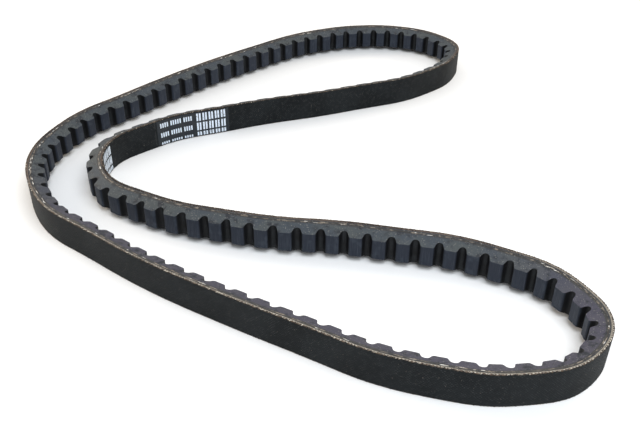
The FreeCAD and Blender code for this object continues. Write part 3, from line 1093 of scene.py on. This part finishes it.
@dataclass
class CompressionRubber:
    """The thick rubber layer with its moulded cogs, between the two ground flanks."""

    belt: BeltLine
    section: BeltSection
    cogs: int
    seed: int
    flank_lines: int = 6
    tip_lines: int = 8
    bed_lines: int = 4
    crown_rise: float = 0.04 * MM

    def outline(self) -> tuple[Grid, Grid]:
        """Station and depth of the cogged surface, once round.

        Every notch is the same outline, moved by its place round the belt. A small random shift
        and a small random change of its depth make each notch its own.

        Returns:
            The stations and the depths.
        """
        shape = NotchShape(self.belt.cord_length / self.cogs, self.section.tip_depth)
        one = shape.outline()
        draw = np.random.default_rng(self.seed)
        shift = draw.normal(0, 0.05 * MM, (self.cogs, 1))
        deepen = 1 + draw.normal(0, 0.012, (self.cogs, 1))
        in_notch = one.imag < self.section.tip_depth - 1e-9
        station = (np.arange(self.cogs)[:, None] + 0.5) * shape.pitch + one.real + shift * in_notch
        depth = self.section.tip_depth - (self.section.tip_depth - one.imag) * deepen
        station, depth = station.ravel(), depth.ravel()
        uneven = 0.05 * self.belt.noise(self.seed + 1, station, 5 * MM)
        uneven += 0.02 * self.belt.noise(self.seed + 2, station, 0.9 * MM)
        return station, depth + uneven * MM

    def grid(self) -> Surface:
        """The section at each station: lower flank, cogged face, upper flank, and bed.

        A point on a flank lies at a share of the way from the bed to the cogged face, and a point
        on the cogged face at a share of the way from one flank to the other.
        """
        station, face = self.outline()
        face = face[:, None]
        share = np.linspace(0, 1, self.flank_lines)
        flank_depth = self.section.bed_depth + (face - self.section.bed_depth) * share
        rough = [0.03 * MM * self.belt.noise(self.seed + 10 + side, station, 3.1 * MM)[:, None] * share
                 for side in (0, 1)]
        low = self.section.low(flank_depth) + np.abs(rough[0])
        high = self.section.high(flank_depth) - np.abs(rough[1])
        across = np.linspace(0, 1, self.tip_lines + 2)[1:-1]
        cogged = low[:, -1:] + (high - low)[:, -1:] * across
        bed_share = np.linspace(1, 0, self.bed_lines + 2)[1:-1]
        bed = low[:, :1] + (high - low)[:, :1] * bed_share
        crown = self.crown_rise * (1 - (2 * across - 1) ** 6)
        depth = np.concatenate([flank_depth, face + crown - self.crown_rise, flank_depth[:, ::-1],
                                np.full_like(bed, self.section.bed_depth)], axis=1)
        height = np.concatenate([low, cogged, high[:, ::-1], bed], axis=1)
        return Surface(self.belt, station, depth, height)

    def slots(self) -> Grid:
        """The second material for the cogged face, the first for the flanks and the bed."""
        first = self.flank_lines - 1
        slots = np.zeros(2 * self.flank_lines + self.tip_lines + self.bed_lines, dtype=np.int32)
        slots[first:first + self.tip_lines + 1] = 1
        return slots

    def build(self, ground: bpy.types.Material, moulded: bpy.types.Material) -> bpy.types.Object:
        """Makes the rubber in place of its CAD node."""
        mesh = self.grid().mesh("cogged_rubber", self.slots(), 38.0)
        return place_piece(mesh, [ground, moulded], ("cogged_compression_rubber",))


# ---- Printed transfers ----

@dataclass(frozen=True)
class MarkRow:
    """One line of plain printed blocks along a transfer, in groups."""

    start: float
    level: float
    block_height: float
    stroke: float
    gap: float
    groups: tuple[int, ...]
    group_gap: float


@dataclass
class Transfer:
    """A thin printed film on the back, with rows of plain white blocks."""

    belt: BeltLine
    section: BeltSection
    name: str
    start: float
    length: float
    rows: list[MarkRow]
    seed: int
    margin: float = 0.5 * MM
    film_thickness: float = 0.07 * MM
    ink_thickness: float = 0.02 * MM
    bonded: float = 0.04 * MM

    def film(self, material: bpy.types.Material) -> bpy.types.Object:
        """A flat film with ends that waver a little, bonded into the ply."""
        steps, lines = 70, 12
        wobble = 0.12 * MM * self.belt.noise(self.seed, np.array([0.0, 0.5]) * self.belt.cord_length, MM)
        station = np.linspace(self.start + wobble[0], self.start + self.length + wobble[1], steps)
        levels = np.linspace(self.margin, self.section.width - self.margin, lines)
        fray = 0.05 * MM * self.belt.noise(self.seed + 1, station, 1.4 * MM)[:, None]
        ones = np.ones((steps, 1))
        height = np.concatenate([levels * ones, levels[::-1] * ones], axis=1)
        height[:, [0, -1]] += fray
        height[:, [lines - 1, lines]] -= fray
        proud = -self.film_thickness + 0.012 * MM * self.belt.noise(self.seed + 2, station, 2 * MM)
        depth = np.concatenate([np.full((steps, lines), self.bonded), proud[:, None] * np.ones(lines)],
                               axis=1)
        surface = Surface(self.belt, station, depth, height, closed_along=False)
        mesh = surface.mesh(f"{self.name}_film", None, 50.0)
        return place_piece(mesh, [material], (self.name,))

    def blocks(self) -> tuple[Grid, Grid]:
        """Corner and size of every block, cut off at the film's edges."""
        corners, sizes = [], []
        for row in self.rows:
            place = self.start + row.start
            low = max(row.level - row.block_height / 2, self.margin + 0.1 * MM)
            high = min(row.level + row.block_height / 2, self.section.width - self.margin - 0.1 * MM)
            for group in row.groups:
                for _ in range(group):
                    corners.append((place, -self.film_thickness - self.ink_thickness, low))
                    sizes.append((row.stroke, 2 * self.ink_thickness, high - low))
                    place += row.stroke + row.gap
                place += row.group_gap
        return np.array(corners), np.array(sizes)

    def ink(self, material: bpy.types.Material) -> bpy.types.Object:
        """Thin blocks of ink on the film, each a little uneven."""
        corners, sizes = self.blocks()
        shades = np.random.default_rng(self.seed + 3).uniform(0, 1, len(corners))
        mesh = Form.block().repeated(f"{self.name}_ink", self.belt, corners, sizes, shades,
                                     None, 0.02, self.seed + 4)
        return place_piece(mesh, [material])


# ---- The whole belt ----

@dataclass
class CoggedBelt:
    """The endless belt, layer by layer from the back to the cogs."""

    cogs: int = 115
    threads: int = 980
    ply_rows: int = 2900
    long_start: float = 731.7 * MM
    long_length: float = 34.0 * MM
    short_start: float = 693.2 * MM
    short_length: float = 12.5 * MM
    lap_distance: float = 730.7 * MM
    mark_levels: tuple[float, ...] = (9.75 * MM, 5.15 * MM, 0.6 * MM)
    mark_gap: float = 0.46 * MM
    belt: BeltLine = field(init=False)
    section: BeltSection = field(init=False)

    def __post_init__(self) -> None:
        """Takes the belt line and the width from the frame."""
        low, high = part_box("back_fabric_outer_ply")
        self.section = BeltSection(high.z - low.z)
        self.belt = BeltLine(low, high, self.section.cord_depth)

    def build_plies(self) -> None:
        """The two plies of fabric and the thread ends along the back's edges."""
        ply = self.section.ply
        lap = float(self.belt.station_at(self.lap_distance))
        face = RubberisedFabric(self.threads, self.belt.cord_length, self.section.width, lap).material()
        spacing = self.belt.cord_length / self.threads
        # The pale colours and the last two numbers of each cut edge paint light on the near strand's
        # stretch.
        outer_edge = CutThreads("outer_ply_edge", (0.12, 0.088, 0.070, 1.0), (0.032, 0.021, 0.022, 1.0),
                                (0.52, 0.49, 0.43, 1.0), spacing, tan_share=0.12,
                                painted_light_base=0.0, painted_light_strokes=0.95).material()
        inner_edge = CutThreads("inner_ply_edge", (0.16, 0.122, 0.095, 1.0), (0.046, 0.030, 0.028, 1.0),
                                (0.28, 0.26, 0.22, 1.0), spacing, tan_share=0.6,
                                painted_light_base=0.65, painted_light_strokes=0.4).material()
        outer = FabricPly(self.belt, self.section, "back_fabric_outer_ply", 0.0, ply,
                          EdgeRag(self.belt, OUTER_RAG_SEED), 0.22 * MM, self.ply_rows, lap)
        outer.build(face, outer_edge, "back_fabric")
        inner = FabricPly(self.belt, self.section, "back_fabric_inner_ply", ply, 2 * ply,
                          EdgeRag(self.belt, INNER_RAG_SEED, 0.07 * MM, 0.06 * MM), 0.05 * MM,
                          self.ply_rows, back_lines=3)
        inner.build(face, inner_edge, "inner_fabric")
        ends = ThreadEnds().material()
        for edge in Edge:
            ThreadFringe(self.belt, self.section, self.threads, edge, FRINGE_SEED + edge.value).build(
                ends, "back_fabric")

    def dress_gum_and_cords(self) -> None:
        """The gum layers and the cord keep their CAD shapes, with their own finishes."""
        gum = GroundRubber("gum", (0.034, 0.036, 0.040, 1.0), (0.042, 0.042, 0.042, 1.0)).material()
        inner_cord = CordFibre("wound_cord", dark_share=0.2).material()
        for name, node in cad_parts.items():
            if name.startswith("tensile_cord"):
                self.dress(node, inner_cord)
            elif name.endswith("_gum"):
                self.dress(node, gum)

    @staticmethod
    def dress(node: bpy.types.Object, material: bpy.types.Material) -> None:
        """Gives every slot of a CAD node one material."""
        node.data.materials.clear()
        node.data.materials.append(material)
        log.info("%s: dressed with %s", node.name, material.name)

    def build_cut_cord(self) -> None:
        """The cord laid open along each flank."""
        band = CordFibre("open_cord", (0.27, 0.235, 0.19, 1.0), (0.10, 0.078, 0.062, 1.0),
                         dark_share=0.62).material()
        sliver = ThreadEnds("cord_slivers", tan=(0.24, 0.20, 0.16, 1.0),
                            pale=(0.78, 0.77, 0.74, 1.0)).material()
        for edge in Edge:
            cord = CutCord(self.belt, self.section, edge, CUT_CORD_SEED + edge.value)
            cord.build_band(band)
            cord.build_slivers(sliver)

    def build_rubber(self) -> None:
        """The cogged compression rubber."""
        tip = self.section.tip_depth
        moulded = MouldedRubber(tip, tip - NotchShape(1.0, tip).notch_depth).material()
        ground = GroundRubber("ground_flank", cast=0.55).material()
        CompressionRubber(self.belt, self.section, self.cogs, RUBBER_SEED).build(ground, moulded)

    def mark_rows(self, start: float, groups: tuple[int, ...], block_height: float, stroke: float,
                  group_gap: float) -> list[MarkRow]:
        """The same line of blocks at each level of the print."""
        return [MarkRow(start, level, block_height, stroke, self.mark_gap, groups, group_gap)
                for level in self.mark_levels]

    def build_transfers(self) -> None:
        """The two printed transfers."""
        film, ink = TransferFilm().material(), TransferInk().material()
        small = self.mark_rows(1.7 * MM, (4, 5, 4), 2.2 * MM, 0.66 * MM, 0.8 * MM)
        large = self.mark_rows(19.6 * MM, (2, 2, 2, 2, 2), 3.7 * MM, 0.78 * MM, 0.36 * MM)
        end = self.mark_rows(2.4 * MM, (2, 2, 2, 2), 3.7 * MM, 0.78 * MM, 0.36 * MM)
        labels = (
            ("long_transfer_label", self.long_start, self.long_length, small + large, LONG_LABEL_SEED),
            ("short_transfer_label", self.short_start, self.short_length, end, SHORT_LABEL_SEED))
        for name, start, length, rows, seed in labels:
            first, last = (float(self.belt.station_at(place)) for place in (start, start + length))
            transfer = Transfer(self.belt, self.section, name, first, last - first, rows, seed)
            transfer.film(film)
            transfer.ink(ink)

    def build(self) -> None:
        """Makes every layer in order."""
        self.build_plies()
        self.dress_gum_and_cords()
        self.build_cut_cord()
        self.build_rubber()
        self.build_transfers()


# ---- Camera, light and floor ----

@dataclass(frozen=True)
class SoftLight:
    """A square area light aimed at a point."""

    name: str
    place: tuple[float, float, float]
    aim: tuple[float, float, float]
    side: float
    watts: float
    colour: tuple[float, float, float] = (1.0, 1.0, 1.0)

    def build(self) -> None:
        """Adds the light to the scene."""
        data = bpy.data.lights.new(self.name, "AREA")
        data.shape = "SQUARE"
        data.size = self.side
        data.energy = self.watts
        data.color = self.colour
        lamp = bpy.data.objects.new(self.name, data)
        bpy.context.scene.collection.objects.link(lamp)
        lamp.location = self.place
        way = Vector(self.aim) - Vector(self.place)
        lamp.rotation_euler = way.to_track_quat("-Z", "Y").to_euler()


@dataclass(frozen=True)
class Studio:
    """Plain pale floor, soft light from above and both sides, and the camera."""

    camera_place: tuple[float, float, float] = (14.050 * MM, -288.502 * MM, 167.007 * MM)
    elevation: float = math.radians(34.016)
    azimuth: float = math.radians(-0.123)
    roll: float = math.radians(0.8)
    lens: float = 43.277
    sensor: float = 36.0
    floor_half: float = 3.0
    floor_level: float = -0.12 * MM
    sky_strength: float = 0.6
    lights: tuple[SoftLight, ...] = (
        SoftLight("near_key", (0.14, -0.30, 0.46), (0.04, -0.07, 0.0), 0.4, 2.6, (0.90, 0.95, 1.0)),
        SoftLight("far_fill", (0.0, 0.7, 0.9), (0.0, 0.1, 0.0), 0.9, 2.0),
        SoftLight("left_warm", (-0.62, 0.22, 0.22), (-0.1, 0.0, 0.0), 0.3, 3.6, (1.0, 0.86, 0.68)),
        SoftLight("far_right_warm", (0.6, 0.40, 0.26), (0.06, 0.1, 0.0), 0.3, 2.2, (1.0, 0.84, 0.62)),
    )

    def add_camera(self) -> None:
        """The camera looks down by its elevation, turned by its azimuth and its roll."""
        a, e, r = self.azimuth, self.elevation, self.roll
        forward = Vector((-math.sin(a) * math.cos(e), math.cos(a) * math.cos(e), -math.sin(e)))
        level = Vector((math.cos(a), math.sin(a), 0.0))
        raised = level.cross(forward)
        right = level * math.cos(r) + raised * math.sin(r)
        up = raised * math.cos(r) - level * math.sin(r)
        data = bpy.data.cameras.new("camera")
        data.lens = self.lens
        data.sensor_width = self.sensor
        data.clip_start = 0.01
        camera = bpy.data.objects.new("camera", data)
        bpy.context.scene.collection.objects.link(camera)
        turn = Matrix((right, up, -forward)).transposed().to_4x4()
        camera.matrix_world = Matrix.Translation(self.camera_place) @ turn
        bpy.context.scene.camera = camera

    def add_floor(self) -> None:
        """A large flat square under the belt."""
        side = self.floor_half
        corners = [(-side, -side, self.floor_level), (side, -side, self.floor_level),
                   (side, side, self.floor_level), (-side, side, self.floor_level)]
        mesh = bpy.data.meshes.new("floor")
        mesh.from_pydata(corners, [], [[0, 1, 2, 3]])
        mesh.materials.append(PaleFloor().material())
        floor = bpy.data.objects.new("floor", mesh)
        bpy.context.scene.collection.objects.link(floor)

    def add_sky(self) -> None:
        """Even white light from all round, and plain colours in the picture."""
        world = bpy.data.worlds.new("sky")
        world.use_nodes = True
        background = world.node_tree.nodes["Background"]
        background.inputs["Color"].default_value = grey(1.0)
        background.inputs["Strength"].default_value = self.sky_strength
        bpy.context.scene.world = world
        bpy.context.scene.view_settings.view_transform = "Standard"

    def build(self) -> None:
        """Sets the whole studio up."""
        self.add_camera()
        self.add_floor()
        self.add_sky()
        for light in self.lights:
            light.build()


def main() -> None:
    """Builds the studio and the belt."""
    logging.basicConfig(level=logging.INFO, format="%(message)s")
    Studio().build()
    CoggedBelt().build()


if __name__ == "__main__":
    main()
